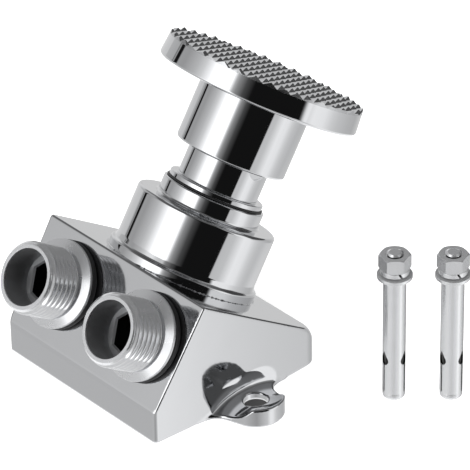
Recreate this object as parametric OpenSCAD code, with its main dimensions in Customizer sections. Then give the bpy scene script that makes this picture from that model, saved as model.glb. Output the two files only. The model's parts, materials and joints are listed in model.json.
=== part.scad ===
// Foot pedal tap valve: a chromed brass wedge that is bolted to the floor.
// Two half inch nipples stand on its front slope, and a round pedal on its rear slope.
// Origin: on the base plane, midway between the two ear holes. +X right, +Y rear, +Z up.
// Most pieces are placed in the slope frame: its origin is on the ridge, its y runs down
// the rear slope and its z is the way the pedal rises. The front slope is its y = 0 plane.

/* [Body] */
// Width of the cast wedge
body_w = 64; // [58:0.5:70]
// Distance from the line of the ear holes to the front wall
body_front = 32.5; // [30:0.5:36]
// Height of the upright front wall
front_wall_h = 9.8; // [8:0.2:14]
// Length of the front slope, from its crease to the ridge
front_slope = 33.4; // [32:0.2:38]
// Length of the rear slope, from the ridge to its crease
rear_slope = 49.1; // [47:0.2:54]
// Tilt of the rear slope and of the pedal
tilt = 33; // [30:0.5:35]
// Rounding of the crease and of the ridge
ridge_r = 0.8; // [0.4:0.1:1.5]
// Rounding of the rear edges and corners
rear_r = 3; // [1.5:0.25:4]
// Rounding of the front upright corners
front_r = 1.2; // [0.5:0.1:2.5]

/* [Ears] */
// Distance between the two floor bolt holes
ear_span = 75; // [73:0.5:80]
// Radius of the ear's round end
ear_r = 8.3; // [7.8:0.1:9]
// Distance from the hole out to the middle of the round end
ear_end = 1; // [0:0.1:2]
// Distance that the ear's middle lies in front of its hole
ear_lead = 0.9; // [0:0.1:1.5]
// Taper of each side of the ear, out from the side wall
ear_taper = 18; // [10:1:24]
// Height of the ear's outer end
ear_h = 5.1; // [4.6:0.1:6]
// Radius of the hole in the ear
ear_hole_r = 3.5; // [3:0.1:4]
// Rounding of the hole's upper edge
ear_lip_r = 0.6; // [0.3:0.1:0.8]
// Height of the dished top beside the wall
ear_floor = 2.4; // [2:0.1:3]
// Radius of the dish from the wall out to the end
ear_dish_r = 17; // [14:0.5:22]
// Radius of the dish's crown from front to rear
ear_crown_r = 52; // [40:1:80]
// Radius of the arch that is sunk in the side wall
ear_arch_r = 2.5; // [2:0.1:2.8]
// Half length of the arch
ear_arch_reach = 11; // [10:0.2:12]
// Height of the arch's axis
ear_arch_h = 4.9; // [4.6:0.1:5.4]
// Fillet from the ear to the side wall
ear_fillet = 4; // [2:0.5:6]

/* [Ports] */
// Distance between the two nipples
port_span = 35.6; // [34:0.2:40]
// Distance from the ridge down the front slope to the nipples
port_drop = 15.7; // [15:0.1:17.5]
// Outside radius of the half inch parallel pipe thread
thread_r = 10.4775; // [10.4775:0.0001:10.4775]
// Distance from the front slope to the nipple's end
nipple_len = 16.2; // [15:0.2:20]
// Radius of the nipple's bore
nipple_bore_r = 8.2; // [7.6:0.1:8.4]
// Depth of the bore, down to the hexagon
nipple_bore_len = 10.6; // [9:0.2:11]
// Width across the flats of the hexagon that turns the nipple
nipple_hex = 12; // [10:0.5:12.5]
// Chamfer on the end of the thread
nipple_chamfer = 1; // [0.5:0.1:1.5]
// Radius of the nipple's collar
collar_r = 12.9; // [12:0.1:14]
// Thickness of the collar at the thread
collar_t = 1.8; // [1.4:0.1:2.4]
// Height of the collar's conical face
collar_cone = 1; // [0.5:0.1:1.2]
// Thickness of the sealing washer under the collar
port_seal_t = 2.3; // [1.5:0.1:3]
// Radius of the sealing washer
port_seal_r = 13.2; // [11:0.1:13.4]
// Radius of the nipple's threaded tail
tail_r = 8; // [7.4:0.1:8.4]
// Length of the threaded tail in the body
tail_len = 8; // [6:0.5:9]

/* [Bonnet] */
// Distance from the ridge down the rear slope to the pedal's axis
axis_drop = 23.6; // [23.2:0.1:26]
// Radius of the round pad on the rear slope
pad_r = 22.1; // [21.5:0.1:23]
// Height of the pad
pad_h = 1.8; // [1.2:0.1:3]
// Radius of the bonnet
bonnet_r = 20.9; // [20:0.1:21.5]
// Height of the bonnet's shoulder above the rear slope
bonnet_h = 19.5; // [18:0.1:22]
// Rounding of the shoulder
bonnet_edge_r = 1; // [0.8:0.1:2.5]
// Wall of the bonnet
bonnet_wall = 3.4; // [2.5:0.1:4.5]
// Thickness of the bonnet's roof
bonnet_roof = 3.8; // [3:0.1:5]
// Radius of the bonnet's threaded spigot in the body
spigot_r = 14.5; // [14:0.1:15.5]
// Depth of the spigot below the rear slope
spigot_len = 2; // [1.5:0.1:2.5]
// Radius of the boss on the shoulder
boss_r = 15.2; // [14.5:0.1:16]
// Height of the boss above the rear slope
boss_h = 24.5; // [23.5:0.1:26]
// Thickness of the bonnet's gasket
bonnet_seal_t = 0.3; // [0.2:0.1:1]
// Flare at the bonnet's foot
bonnet_flare = 1; // [0.6:0.1:1.1]

/* [Guide sleeve] */
// Outside radius of the sleeve that the pedal's skirt slides over
sleeve_r = 12; // [11.5:0.1:12.5]
// Bore radius of the sleeve
sleeve_bore_r = 9.5; // [9:0.1:9.8]
// Height of the sleeve's top above the rear slope
sleeve_top = 44.5; // [43.5:0.1:45.5]
// Radius of the sleeve's collar
flange_r = 14.1; // [13.5:0.1:15]
// Thickness of the sleeve's collar
flange_t = 1.5; // [1:0.1:2.5]
// Thickness of the black seal under the collar
sleeve_seal_t = 0.6; // [0.5:0.1:1]
// Radius of the sleeve's threaded tail
sleeve_tail_r = 11; // [10.5:0.1:11.4]
// Thickness of the shelf that carries the spring
shelf_t = 3; // [2.5:0.1:4]
// Width of the spanner flats
flat_w = 8; // [6:0.5:9]
// Distance that the spanner flats run down past the skirt's edge
flat_show = 2.3; // [1:0.1:4]

/* [Pedal] */
// Travel of the pedal
travel = 7; // [6:0.1:7]
// Radius of the pedal plate at its widest
plate_r = 30; // [28:0.5:34]
// Radius of the pedal plate at its top edge
plate_top_r = 29.4; // [27:0.1:33]
// Height of the plate's underside above the rear slope
plate_low = 55.4; // [55:0.1:58]
// Thickness of the plate, without the teeth
plate_t = 6.4; // [5.5:0.1:8]
// Rounding of the plate's lower edge
plate_edge_r = 2; // [1:0.1:3]
// Radius of the skirt below the plate
skirt_r = 16.4; // [15.8:0.1:17.5]
// Height of the skirt's lower edge above the rear slope
skirt_low = 35.6; // [35:0.1:36.5]
// Clearance between the skirt and the sleeve
skirt_gap = 0.4; // [0.3:0.05:0.8]
// Thickness of the skirt's roof below the plate's underside
roof_drop = 1.4; // [1:0.1:2]
// Height of the tread's teeth
tooth_h = 1.3; // [0.8:0.1:1.6]
// Height that is missing from the sharp tip of each tooth
tooth_tip = 0.1; // [0.05:0.05:0.3]
// Distance between the grooves of the tread
tread_pitch = 4.05; // [3.6:0.05:6]
// Direction of the first set of grooves across the plate
tread_turn = 90; // [0:1:180]
// Direction of the second set of grooves across the plate
tread_cross = -29; // [-90:1:90]

/* [Stem] */
// Radius of the stem
stem_r = 4; // [3.5:0.1:4.5]
// Radius of the stem's upper thread
stem_top_r = 3; // [2.5:0.1:3.2]
// Radius of the stem's lower thread
stem_foot_r = 2.5; // [2:0.1:2.6]
// Width across the flats of the nut under the skirt's roof
lock_nut_af = 10; // [9:0.5:11]
// Thickness of the nut under the skirt's roof
lock_nut_t = 3.2; // [2.5:0.1:4]
// Height of the spring seat's underside above the rear slope
cup_low = 38.6; // [38:0.1:39]
// Thickness of the spring seat
cup_t = 3.6; // [3:0.1:4]
// Wire diameter of the return spring
wire_d = 1.5; // [1.2:0.1:1.6]
// Outside radius of the return spring
spring_r = 8.6; // [8:0.1:8.8]
// Turns of the return spring
spring_turns = 5.5; // [4.5:0.5:6]

/* [Valve seat] */
// Depth of the shoulder that the seat ring rests on
seat_depth = 8.5; // [8.2:0.1:8.8]
// Thickness of the seat ring
seat_t = 2.5; // [2:0.1:2.6]
// Radius of the seat ring
seat_r = 11; // [10.6:0.1:11.2]
// Radius of the opening through the seat ring
orifice_r = 6; // [5.5:0.1:6.5]
// Radius of the upper chamber
upper_r = 13; // [12.6:0.1:13.4]
// Radius of the lower chamber
lower_r = 9.5; // [9:0.1:9.6]
// Radius of the rubber disc that closes the seat
disc_r = 7.6; // [7.2:0.1:7.8]
// Thickness of the rubber disc
disc_t = 1.8; // [1.5:0.1:2]
// Thickness of the disc's holder
holder_t = 2.2; // [1.8:0.1:2.3]
// Width across the flats of the nut below the holder
foot_nut_af = 8; // [7:0.5:8]
// Thickness of the nut below the holder
foot_nut_t = 1.9; // [1.6:0.1:2]

/* [Floor anchors] */
// Radius of the anchor's slotted sleeve
anchor_r = 3.25; // [3:0.05:3.3]
// Height of the slotted sleeve, standing on its end
anchor_sleeve_h = 38; // [30:1:45]
// Radius of the anchor's bolt
anchor_bolt_r = 2.5; // [2:0.1:2.5]
// Height of the flared end of the bolt
anchor_cone_h = 1.6; // [1.2:0.1:3]
// Height of the three holes above the floor
anchor_hole_h = 13.5; // [10:0.5:18]
// Radius of the plain washer
washer_r = 5; // [4.8:0.1:5.5]
// Thickness of the plain washer
washer_t = 1; // [0.8:0.1:1.2]
// Thickness of the spring washer
spring_washer_t = 1.3; // [1:0.1:1.5]
// Width across the flats of the anchor's nut
anchor_nut_af = 8; // [7:0.5:8]
// Height of the anchor's nut
anchor_nut_h = 4.2; // [3.5:0.1:5]
// Length of bolt that stands above the nut
anchor_bolt_over = 2; // [1:0.1:4]
// Place of the first anchor on the floor, to the right
anchor_a_x = 59.3; // [56:0.1:64]
// Place of the first anchor on the floor, to the rear
anchor_a_y = 33.5; // [30:0.1:40]
// Step from the first anchor to the second, to the right
anchor_step_x = 10.9; // [10:0.1:14]
// Step from the first anchor to the second, to the rear
anchor_step_y = 11.8; // [11:0.1:14]

/* [Hidden] */
$fn = 96;
// Clearance of a piece that is screwed or pressed into another
fit_gap = 0.05;
// Overlap that makes a cut pass clean through a face
over = 0.5;
// Wall that the roundings and the seals leave
small_r = 0.4;
chrome = [0.86, 0.87, 0.88];
brass = [0.80, 0.66, 0.36];
rubber = [0.07, 0.07, 0.07];
steel = [0.72, 0.73, 0.75];
zinc = [0.78, 0.79, 0.80];

// The side outline of the wedge, in y and z
front_low = [-body_front, 0];
front_high = [-body_front, front_wall_h];
ridge = front_high + front_slope * [sin(tilt), cos(tilt)];
rear_high = ridge + rear_slope * [cos(tilt), -sin(tilt)];
rear_low = [rear_high[0], 0];

// Heights along the pedal's axis, measured from the rear slope
cavity_floor = pad_h + bonnet_seal_t + bonnet_wall;
cavity_r = bonnet_r - bonnet_wall;
cavity_top = bonnet_h - bonnet_roof;
flange_low = boss_h + sleeve_seal_t;
flange_high = flange_low + flange_t;
tail_low = cavity_top + 2;
shelf_top = tail_low + shelf_t;
skirt_bore_r = sleeve_r + skirt_gap;
roof_low = plate_low - roof_drop;
plate_high = plate_low + plate_t;
lock_nut_low = roof_low - lock_nut_t;
cup_r = sleeve_bore_r - fit_gap;
cup_bore_r = stem_r + fit_gap;
clip_low = cup_low + cup_t + fit_gap;
clip_t = 1.2;
clip_r = 6;
flat_depth = sleeve_r - sqrt(pow(sleeve_r, 2) - pow(flat_w / 2, 2));
flat_low = skirt_low - flat_show;

// Depths along the pedal's axis below the rear slope
seat_top = seat_depth - seat_t;
disc_top = seat_depth + fit_gap;
holder_top = disc_top + disc_t;
holder_low = holder_top + holder_t;
foot_nut_low = holder_low + foot_nut_t;
stem_foot = foot_nut_low + 0.5;
lower_depth = holder_low + travel + 0.8;
pocket_depth = stem_foot + travel + 0.8;
pocket_r = foot_nut_af / sqrt(3) + 1;
holder_r = disc_r + 0.8;

// The gland bush carries two rings on the stem and one on its outside
gland_r = 11.5;
gland_flange_r = 13.2;
gland_flange_t = 1.6;
gland_hex = 17;
gland_hex_t = 2.4;
gland_low = -spigot_len;
gland_bore_r = stem_r + fit_gap;
ring_r = 0.9;
gland_ring_r = 0.8;
stem_ring_heights = [0.2, 3.4];
gland_ring_h = 1.8;
seat_ring_seal_r = 0.65;

// Passages through the casting, in the slope frame
inlet_passage_r = 4.5;
outlet_passage_r = 2.8;
inlet_from = [-port_span / 2, tail_len - 2, -port_drop];
inlet_to = [-lower_r / 2, axis_drop, -port_drop];
outlet_from = [port_span / 2, tail_len - 3, -port_drop];
outlet_to = [upper_r - 3, axis_drop - 6, -seat_top / 2];

// Anchor heights above the floor
anchor_bore_r = anchor_bolt_r + 0.15;
anchor_flare_r = anchor_r - 0.05;
anchor_cone_rise = 1.5;
anchor_sleeve_low = anchor_cone_h + 0.3;
anchor_base = [[anchor_a_x, anchor_a_y], [anchor_a_x + anchor_step_x, anchor_a_y + anchor_step_y]];
washer_low = anchor_sleeve_h;
spring_washer_low = washer_low + washer_t;
anchor_nut_low = spring_washer_low + spring_washer_t;
anchor_bolt_h = anchor_nut_low + anchor_nut_h + anchor_bolt_over;

// Points of an arc of radius r that rounds the corner b between a and c
function corner(a, b, c, r, n) =
    let (u = (a - b) / norm(a - b),
        w = (c - b) / norm(c - b),
        half = acos(u * w) / 2,
        centre = b + (u + w) / norm(u + w) * r / sin(half),
        s = b + u * r / tan(half) - centre,
        e = b + w * r / tan(half) - centre,
        start = atan2(s[1], s[0]),
        turn = (atan2(e[1], e[0]) - start + 540) % 360 - 180)
    [for (i = [0:n]) centre + r * [cos(start + turn * i / n), sin(start + turn * i / n)]];

// An outline whose corners have the given radii, where a radius of 0 stays sharp
function rounded(points, radii, n = 6) =
    let (count = len(points))
    [for (i = [0:count - 1])
        each radii[i] == 0 ? [points[i]]
            : corner(points[(i + count - 1) % count], points[i], points[(i + 1) % count], radii[i], n)];

// Places its children in the slope frame
module on_slope() {
    translate([0, ridge[0], ridge[1]]) rotate([-tilt, 0, 0]) children();
}

// Places its children on the pedal's axis, with z = 0 in the rear slope
module on_axis() {
    on_slope() translate([0, axis_drop, 0]) children();
}

// Places its children on a nipple's axis, with z = 0 in the front slope
module on_port(side) {
    on_slope() translate([side * port_span / 2, 0, -port_drop]) rotate([90, 0, 0]) children();
}

// A round bar from point a to point b
module bar(a, b, r) {
    d = b - a;
    translate(a) rotate([0, acos(d[2] / norm(d)), atan2(d[1], d[0])]) cylinder(r = r, h = norm(d));
}

// A ring of round section
module o_ring(mean_r, section_r) {
    rotate_extrude() translate([mean_r, 0]) circle(r = section_r, $fn = 32);
}

// A plain ring from height low to height high
module ring(outer_r, inner_r, low, high) {
    difference() {
        translate([0, 0, low]) cylinder(r = outer_r, h = high - low);
        translate([0, 0, low - over]) cylinder(r = inner_r, h = high - low + 2 * over);
    }
}

// A hexagon bar of the given width across the flats
module hex_bar(across, h) {
    cylinder(r = across / sqrt(3), h = h, $fn = 6);
}

// A hexagon nut with chamfered corners
module hex_nut(across, h, bore_r) {
    corner_r = across / sqrt(3);
    difference() {
        intersection() {
            hex_bar(across, h);
            rotate_extrude() polygon([[0, 0], [across / 2, 0], [corner_r, (corner_r - across / 2) * 0.58],
                [corner_r, h - (corner_r - across / 2) * 0.58], [across / 2, h], [0, h]]);
        }
        translate([0, 0, -over]) cylinder(r = bore_r, h = h + 2 * over);
    }
}

// The wedge's side outline carried across its width, and trimmed to its plan
module wedge() {
    radii = [0, ridge_r, ridge_r, rear_r, 0];
    half = body_w / 2;
    plan = [[-half, front_low[0]], [half, front_low[0]], [half, rear_low[0]], [-half, rear_low[0]]];
    intersection() {
        rotate([90, 0, 90]) translate([0, 0, -half])
            linear_extrude(body_w)
                polygon(rounded([front_low, front_high, ridge, rear_high, rear_low], radii));
        linear_extrude(ridge[1] + over) polygon(rounded(plan, [front_r, front_r, rear_r, rear_r]));
    }
}

// One ear's plan: a round end, sides that widen towards the wall, and fillets there
module ear_plan() {
    wall = body_w / 2;
    middle = ear_span / 2 + ear_end;
    side = [sin(ear_taper), cos(ear_taper)];
    fillet_x = wall + ear_fillet;
    fillet_y = ((middle - fillet_x) * side[0] + ear_r + ear_fillet) / side[1];
    foot = [fillet_x, fillet_y] - ear_fillet * side;
    tangent = [middle, 0] + ear_r * side;
    translate([0, -ear_lead]) {
        translate([middle, 0]) circle(r = ear_r);
        difference() {
            polygon([[wall - over, -fillet_y], [fillet_x, -fillet_y], [foot[0], -foot[1]],
                [tangent[0], -tangent[1]], tangent, foot, [fillet_x, fillet_y], [wall - over, fillet_y]]);
            for (s = [-1, 1]) translate([fillet_x, s * fillet_y]) circle(r = ear_fillet);
        }
    }
}

// The saddle that the ear's top follows: level beside the wall, rising to the end, crowned front to rear
module ear_saddle() {
    low = body_w / 2 + 2.5;
    far = ear_span / 2 + ear_end + ear_r + over;
    rise = [for (i = [0:12]) let (x = low + (far - low) * i / 12)
        [ear_crown_r + ear_dish_r - sqrt(pow(ear_dish_r, 2) - pow(x - low, 2)), x]];
    translate([0, 0, ear_floor - ear_crown_r]) rotate([0, 90, 0])
        rotate_extrude($fn = 180) polygon(concat([[0, low - 4], [ear_crown_r, low - 4]], rise, [[0, far]]));
}

// One ear with its dished top
module ear() {
    intersection() {
        linear_extrude(ear_h) ear_plan();
        ear_saddle();
    }
}

// The arch that is sunk in the side wall above the ear, a spindle that lies front to rear
module ear_arch() {
    half = [for (i = [-12:12]) let (a = i * 7.5) [ear_arch_r * cos(a), ear_arch_reach * sin(a)]];
    translate([body_w / 2 + 1, -0.3, ear_arch_h]) rotate([-90, 0, 0])
        rotate_extrude($fn = 48) polygon(half);
}

// The bolt's hole with its rounded upper edge
module ear_hole() {
    top = ear_floor + 0.4;
    lip = [for (a = [0:15:90]) [ear_hole_r + ear_lip_r * (1 - cos(a)), top - ear_lip_r + ear_lip_r * sin(a)]];
    rotate_extrude() polygon(concat([[0, -over], [ear_hole_r, -over]], lip,
        [[ear_hole_r + ear_lip_r, ear_h + over], [0, ear_h + over]]));
}

module valve_body() {
    color(chrome) difference() {
        union() {
            wedge();
            for (s = [0, 1]) mirror([s, 0, 0]) ear();
            on_axis() pad();
        }
        for (s = [-1, 1]) translate([s * ear_span / 2, 0, 0]) ear_hole();
        for (s = [0, 1]) mirror([s, 0, 0]) ear_arch();
        on_axis() chambers();
        for (s = [-1, 1]) on_port(s) translate([0, 0, -tail_len - over])
            cylinder(r = tail_r + fit_gap, h = tail_len + 2 * over);
        on_slope() bar(inlet_from, inlet_to, inlet_passage_r);
        on_slope() bar(outlet_from, outlet_to, outlet_passage_r);
    }
}

// The raised round pad that the bonnet stands on
module pad() {
    rotate_extrude() polygon(concat([[0, -over], [pad_r, -over]],
        [for (a = [0:15:90]) [pad_r - small_r * 2 * (1 - cos(a)), pad_h - small_r * 2 * (1 - sin(a))]],
        [[0, pad_h]]));
}

// The stepped bore below the bonnet: spigot, upper chamber, seat, lower chamber and pocket
module chambers() {
    rotate_extrude() polygon([[0, pad_h + over], [spigot_r + fit_gap, pad_h + over],
        [spigot_r + fit_gap, -spigot_len - fit_gap], [upper_r, -spigot_len - fit_gap],
        [upper_r, -seat_top], [seat_r + fit_gap, -seat_top], [seat_r + fit_gap, -seat_depth],
        [lower_r, -seat_depth], [lower_r, -lower_depth], [pocket_r, -lower_depth],
        [pocket_r, -pocket_depth], [0, -pocket_depth]]);
}

// A nipple: threaded tail, collar, plain cylinder of the thread's size, bore and hexagon
module nipple(side) {
    collar_low = port_seal_t;
    collar_high = collar_low + collar_t;
    color(chrome) on_port(side) difference() {
        rotate_extrude() polygon([[0, -tail_len], [tail_r - nipple_chamfer, -tail_len],
            [tail_r, -tail_len + nipple_chamfer], [tail_r, collar_low], [collar_r - small_r, collar_low],
            [collar_r, collar_low + small_r], [collar_r, collar_high - collar_cone - small_r],
            [collar_r - small_r, collar_high - collar_cone], [thread_r, collar_high],
            [thread_r, nipple_len - nipple_chamfer], [thread_r - nipple_chamfer, nipple_len], [0, nipple_len]]);
        translate([0, 0, nipple_len - nipple_bore_len])
            cylinder(r = nipple_bore_r, h = nipple_bore_len + over);
        translate([0, 0, -tail_len - over]) hex_bar(nipple_hex, tail_len + nipple_len);
    }
}

module inlet_nipple() {
    nipple(-1);
}

module outlet_nipple() {
    nipple(1);
}

// The rubber washer between a nipple's collar and the front slope
module port_seal(side) {
    low = small_r * 0.02;
    high = port_seal_t - small_r * 0.02;
    mid = (high - low) / 2;
    color(rubber) on_port(side) rotate_extrude() polygon(concat([[tail_r + fit_gap, low]],
        [for (a = [-90:15:90]) [port_seal_r - mid * (1 - cos(a)), low + mid * (1 + sin(a))]],
        [[tail_r + fit_gap, high]]));
}

module inlet_seal() {
    port_seal(-1);
}

module outlet_seal() {
    port_seal(1);
}

module bonnet() {
    low = pad_h + bonnet_seal_t;
    edge = bonnet_edge_r;
    color(chrome) on_axis() rotate_extrude() polygon(concat(
        [[gland_r + fit_gap, -spigot_len], [spigot_r, -spigot_len], [spigot_r, low],
            [bonnet_r + bonnet_flare, low]],
        [for (a = [0:15:90])
            [bonnet_r + bonnet_flare * (1 - sin(a)), low + small_r + bonnet_flare * (1 - cos(a))]],
        [for (a = [0:15:90]) [bonnet_r - edge * (1 - cos(a)), bonnet_h - edge * (1 - sin(a))]],
        [[boss_r + 2 * small_r, bonnet_h], [boss_r, bonnet_h + 2 * small_r], [boss_r, boss_h - small_r],
            [boss_r - small_r, boss_h], [sleeve_tail_r + fit_gap, boss_h],
            [sleeve_tail_r + fit_gap, cavity_top], [cavity_r, cavity_top],
            [cavity_r, cavity_floor], [gland_r + fit_gap, cavity_floor]]));
}

module bonnet_seal() {
    color(rubber) on_axis() ring(bonnet_r - 3 * small_r, spigot_r + fit_gap, pad_h, pad_h + bonnet_seal_t);
}

// The fixed sleeve: threaded tail, collar, tube, shelf for the spring and two spanner flats
module guide_sleeve() {
    color(chrome) on_axis() difference() {
        rotate_extrude() polygon([[stem_r + small_r, tail_low], [sleeve_tail_r, tail_low],
            [sleeve_tail_r, flange_low], [flange_r, flange_low], [flange_r, flange_high - small_r],
            [flange_r - small_r, flange_high], [sleeve_r, flange_high], [sleeve_r, sleeve_top - small_r],
            [sleeve_r - small_r, sleeve_top], [sleeve_bore_r, sleeve_top],
            [sleeve_bore_r, shelf_top], [stem_r + small_r, shelf_top]]);
        for (s = [0, 180]) rotate([0, 0, s]) spanner_flat();
    }
}

// One milled flat: its lower end is round, and it runs out at the sleeve's top
module spanner_flat() {
    reach = sleeve_r - flat_depth;
    translate([reach, 0, flat_low + flat_w / 2]) rotate([0, 90, 0]) cylinder(r = flat_w / 2, h = sleeve_r);
    translate([reach, -flat_w / 2, flat_low + flat_w / 2])
        cube([sleeve_r, flat_w, sleeve_top - flat_low]);
}

module sleeve_seal() {
    color(rubber) on_axis()
        ring(flange_r + small_r, sleeve_tail_r + fit_gap, boss_h, flange_low);
}

// The bush in the bonnet's floor that guides the stem and seals it
module gland_bush() {
    hex_low = cavity_floor + gland_flange_t;
    color(brass) on_axis() difference() {
        union() {
            translate([0, 0, gland_low]) cylinder(r = gland_r, h = cavity_floor - gland_low);
            translate([0, 0, cavity_floor]) cylinder(r = gland_flange_r, h = gland_flange_t);
            translate([0, 0, hex_low]) hex_bar(gland_hex, gland_hex_t);
        }
        translate([0, 0, gland_low - over])
            cylinder(r = gland_bore_r, h = hex_low + gland_hex_t - gland_low + 2 * over);
        for (h = stem_ring_heights) ring_groove(gland_bore_r - over, gland_bore_r + 2 * ring_r, h, ring_r);
        ring_groove(gland_r - 2 * gland_ring_r, gland_r + over, gland_ring_h, gland_ring_r);
    }
}

// A square groove that holds a ring of the given section
module ring_groove(inner_r, outer_r, h, section_r) {
    width = section_r + fit_gap;
    rotate_extrude() polygon([[inner_r, h - width], [outer_r, h - width], [outer_r, h + width],
        [inner_r, h + width]]);
}

module gland_seal() {
    color(rubber) on_axis() translate([0, 0, gland_ring_h]) o_ring(gland_r - gland_ring_r, gland_ring_r);
}

module stem_seals() {
    color(rubber) on_axis() for (h = stem_ring_heights)
        translate([0, 0, h]) o_ring(gland_bore_r + ring_r, ring_r);
}

// The seat ring on the shoulder between the two chambers
module seat_ring() {
    color(brass) on_axis() difference() {
        ring(seat_r, orifice_r, -seat_depth, -seat_top);
        ring_groove(seat_r - 2 * seat_ring_seal_r, seat_r + over, -(seat_depth + seat_top) / 2, seat_ring_seal_r);
    }
}

module seat_seal() {
    color(rubber) on_axis() translate([0, 0, -(seat_depth + seat_top) / 2])
        o_ring(seat_r - seat_ring_seal_r, seat_ring_seal_r);
}

// The pedal: one casting with a toothed plate above a hollow skirt
module pedal() {
    edge = plate_edge_r;
    color(chrome) on_axis() difference() {
        rotate_extrude() polygon(concat(
            [[0, roof_low], [skirt_bore_r, roof_low], [skirt_bore_r, skirt_low + small_r],
                [skirt_bore_r + small_r, skirt_low], [skirt_r - 2 * small_r, skirt_low],
                [skirt_r, skirt_low + 2 * small_r], [skirt_r, plate_low - small_r],
                [skirt_r + small_r, plate_low]],
            [for (a = [-90:15:0]) [plate_r - edge * (1 - cos(a)), plate_low + edge * (1 + sin(a))]],
            [[plate_top_r, plate_high + tooth_h - tooth_tip], [0, plate_high + tooth_h - tooth_tip]]));
        for (turn = [tread_turn, tread_cross]) rotate([0, 0, turn]) tread_grooves();
        translate([0, 0, roof_low - over]) cylinder(r = stem_top_r + fit_gap, h = roof_drop + plate_t / 2 + over);
    }
}

// One set of the V grooves whose crossings leave the tread's teeth standing
module tread_grooves() {
    count = ceil(plate_r / tread_pitch);
    reach = tread_pitch / 2 * (tooth_h + over) / tooth_h;
    for (i = [-count:count])
        translate([-plate_r - over, (i + 0.5) * tread_pitch, plate_high]) rotate([90, 0, 90])
            linear_extrude(2 * (plate_r + over))
                polygon([[0, 0], [reach, tooth_h + over], [-reach, tooth_h + over]]);
}

// The stem: threaded into the pedal above, and with a shoulder and a thread for the disc below
module stem() {
    color(steel) on_axis() rotate_extrude() polygon([[0, -stem_foot], [stem_foot_r - small_r, -stem_foot],
        [stem_foot_r, -stem_foot + small_r], [stem_foot_r, -holder_top], [stem_r, -holder_top],
        [stem_r, lock_nut_low - small_r], [stem_top_r, lock_nut_low], [stem_top_r, plate_low + plate_t / 2 - small_r],
        [stem_top_r - small_r, plate_low + plate_t / 2 - fit_gap], [0, plate_low + plate_t / 2 - fit_gap]]);
}

module lock_nut() {
    color(steel) on_axis() translate([0, 0, lock_nut_low]) hex_nut(lock_nut_af, lock_nut_t, stem_top_r + fit_gap);
}

// The clip on the stem that the spring cup pushes up against
module stem_clip() {
    color(steel) on_axis() ring(clip_r, stem_r + fit_gap, clip_low, clip_low + clip_t);
}

// Centre line of the spring: one dead turn at each end and an even pitch between them
function spring_height(t) =
    let (length = cup_low - shelf_top - wire_d,
        dead = 0.9,
        low_pitch = wire_d + 0.45,
        rise = length - 2 * dead * low_pitch,
        active = spring_turns - 2 * dead)
    shelf_top + wire_d / 2 + (t < dead ? t * low_pitch
        : t > spring_turns - dead ? length - (spring_turns - t) * low_pitch
        : dead * low_pitch + rise * (t - dead) / active);

module return_spring() {
    sides = 8;
    steps = 20;
    rings = floor(spring_turns * steps);
    mean_r = spring_r - wire_d / 2;
    points = [for (i = [0:rings], j = [0:sides - 1])
        let (t = spring_turns * i / rings,
            a = 360 * t,
            b = 360 * j / sides,
            r = mean_r + wire_d / 2 * cos(b))
        [r * cos(a), r * sin(a), spring_height(t) + wire_d / 2 * sin(b)]];
    walls = [for (i = [0:rings - 1], j = [0:sides - 1])
        let (k = (j + 1) % sides)
        each [[i * sides + j, (i + 1) * sides + j, i * sides + k],
            [i * sides + k, (i + 1) * sides + j, (i + 1) * sides + k]]];
    start_cap = [for (j = [1:sides - 2]) [0, j, j + 1]];
    end_cap = [for (j = [1:sides - 2]) [rings * sides, rings * sides + j + 1, rings * sides + j]];
    color(steel) on_axis() polyhedron(points, concat(walls, start_cap, end_cap));
}

// The spring cup slides in the sleeve's bore, and the stem turns in it
module spring_cup() {
    lip_r = spring_r - wire_d - 0.3;
    color(brass) on_axis() difference() {
        union() {
            translate([0, 0, cup_low]) cylinder(r = cup_r, h = cup_t);
            translate([0, 0, cup_low - wire_d]) cylinder(r = lip_r, h = wire_d + over);
        }
        translate([0, 0, cup_low - wire_d - over]) cylinder(r = cup_bore_r, h = cup_t + wire_d + 2 * over);
    }
}

// The cup shaped holder of the rubber disc
module disc_holder() {
    color(brass) on_axis() difference() {
        translate([0, 0, -holder_low]) cylinder(r = holder_r, h = holder_t + disc_t * 0.6);
        translate([0, 0, -holder_top]) cylinder(r = disc_r + fit_gap, h = disc_t);
        translate([0, 0, -holder_low - over]) cylinder(r = stem_foot_r + fit_gap, h = holder_t + 2 * over);
    }
}

module valve_disc() {
    color(rubber) on_axis() ring(disc_r, stem_r + fit_gap, -holder_top, -disc_top);
}

module disc_nut() {
    color(steel) on_axis() translate([0, 0, -foot_nut_low]) hex_nut(foot_nut_af, foot_nut_t, stem_foot_r + fit_gap);
}

// Radius of the bolt's cone at height h
function cone_r(h) = anchor_flare_r - (anchor_flare_r - anchor_bolt_r) * (h - anchor_cone_h) / anchor_cone_rise;

// Height at which the bolt's cone has radius r
function cone_height(r) = anchor_cone_h + anchor_cone_rise * (anchor_flare_r - r) / (anchor_flare_r - anchor_bolt_r);

// Places its children on the floor where an anchor stands
module at_anchor(which) {
    translate([anchor_base[which][0], anchor_base[which][1], 0]) children();
}

// The bolt: its flared end stands on the floor and opens the sleeve when it is drawn up
module anchor_bolt(which) {
    edge = 0.8;
    tip = 0.6;
    color(zinc) at_anchor(which) rotate_extrude() polygon(concat([[0, 0]],
        [for (a = [-90:18:0]) [anchor_flare_r - edge * (1 - cos(a)), edge * (1 + sin(a))]],
        [[anchor_flare_r, anchor_cone_h], [anchor_bolt_r, anchor_cone_h + anchor_cone_rise],
            [anchor_bolt_r, anchor_bolt_h - tip], [anchor_bolt_r - tip, anchor_bolt_h], [0, anchor_bolt_h]]));
}

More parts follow.
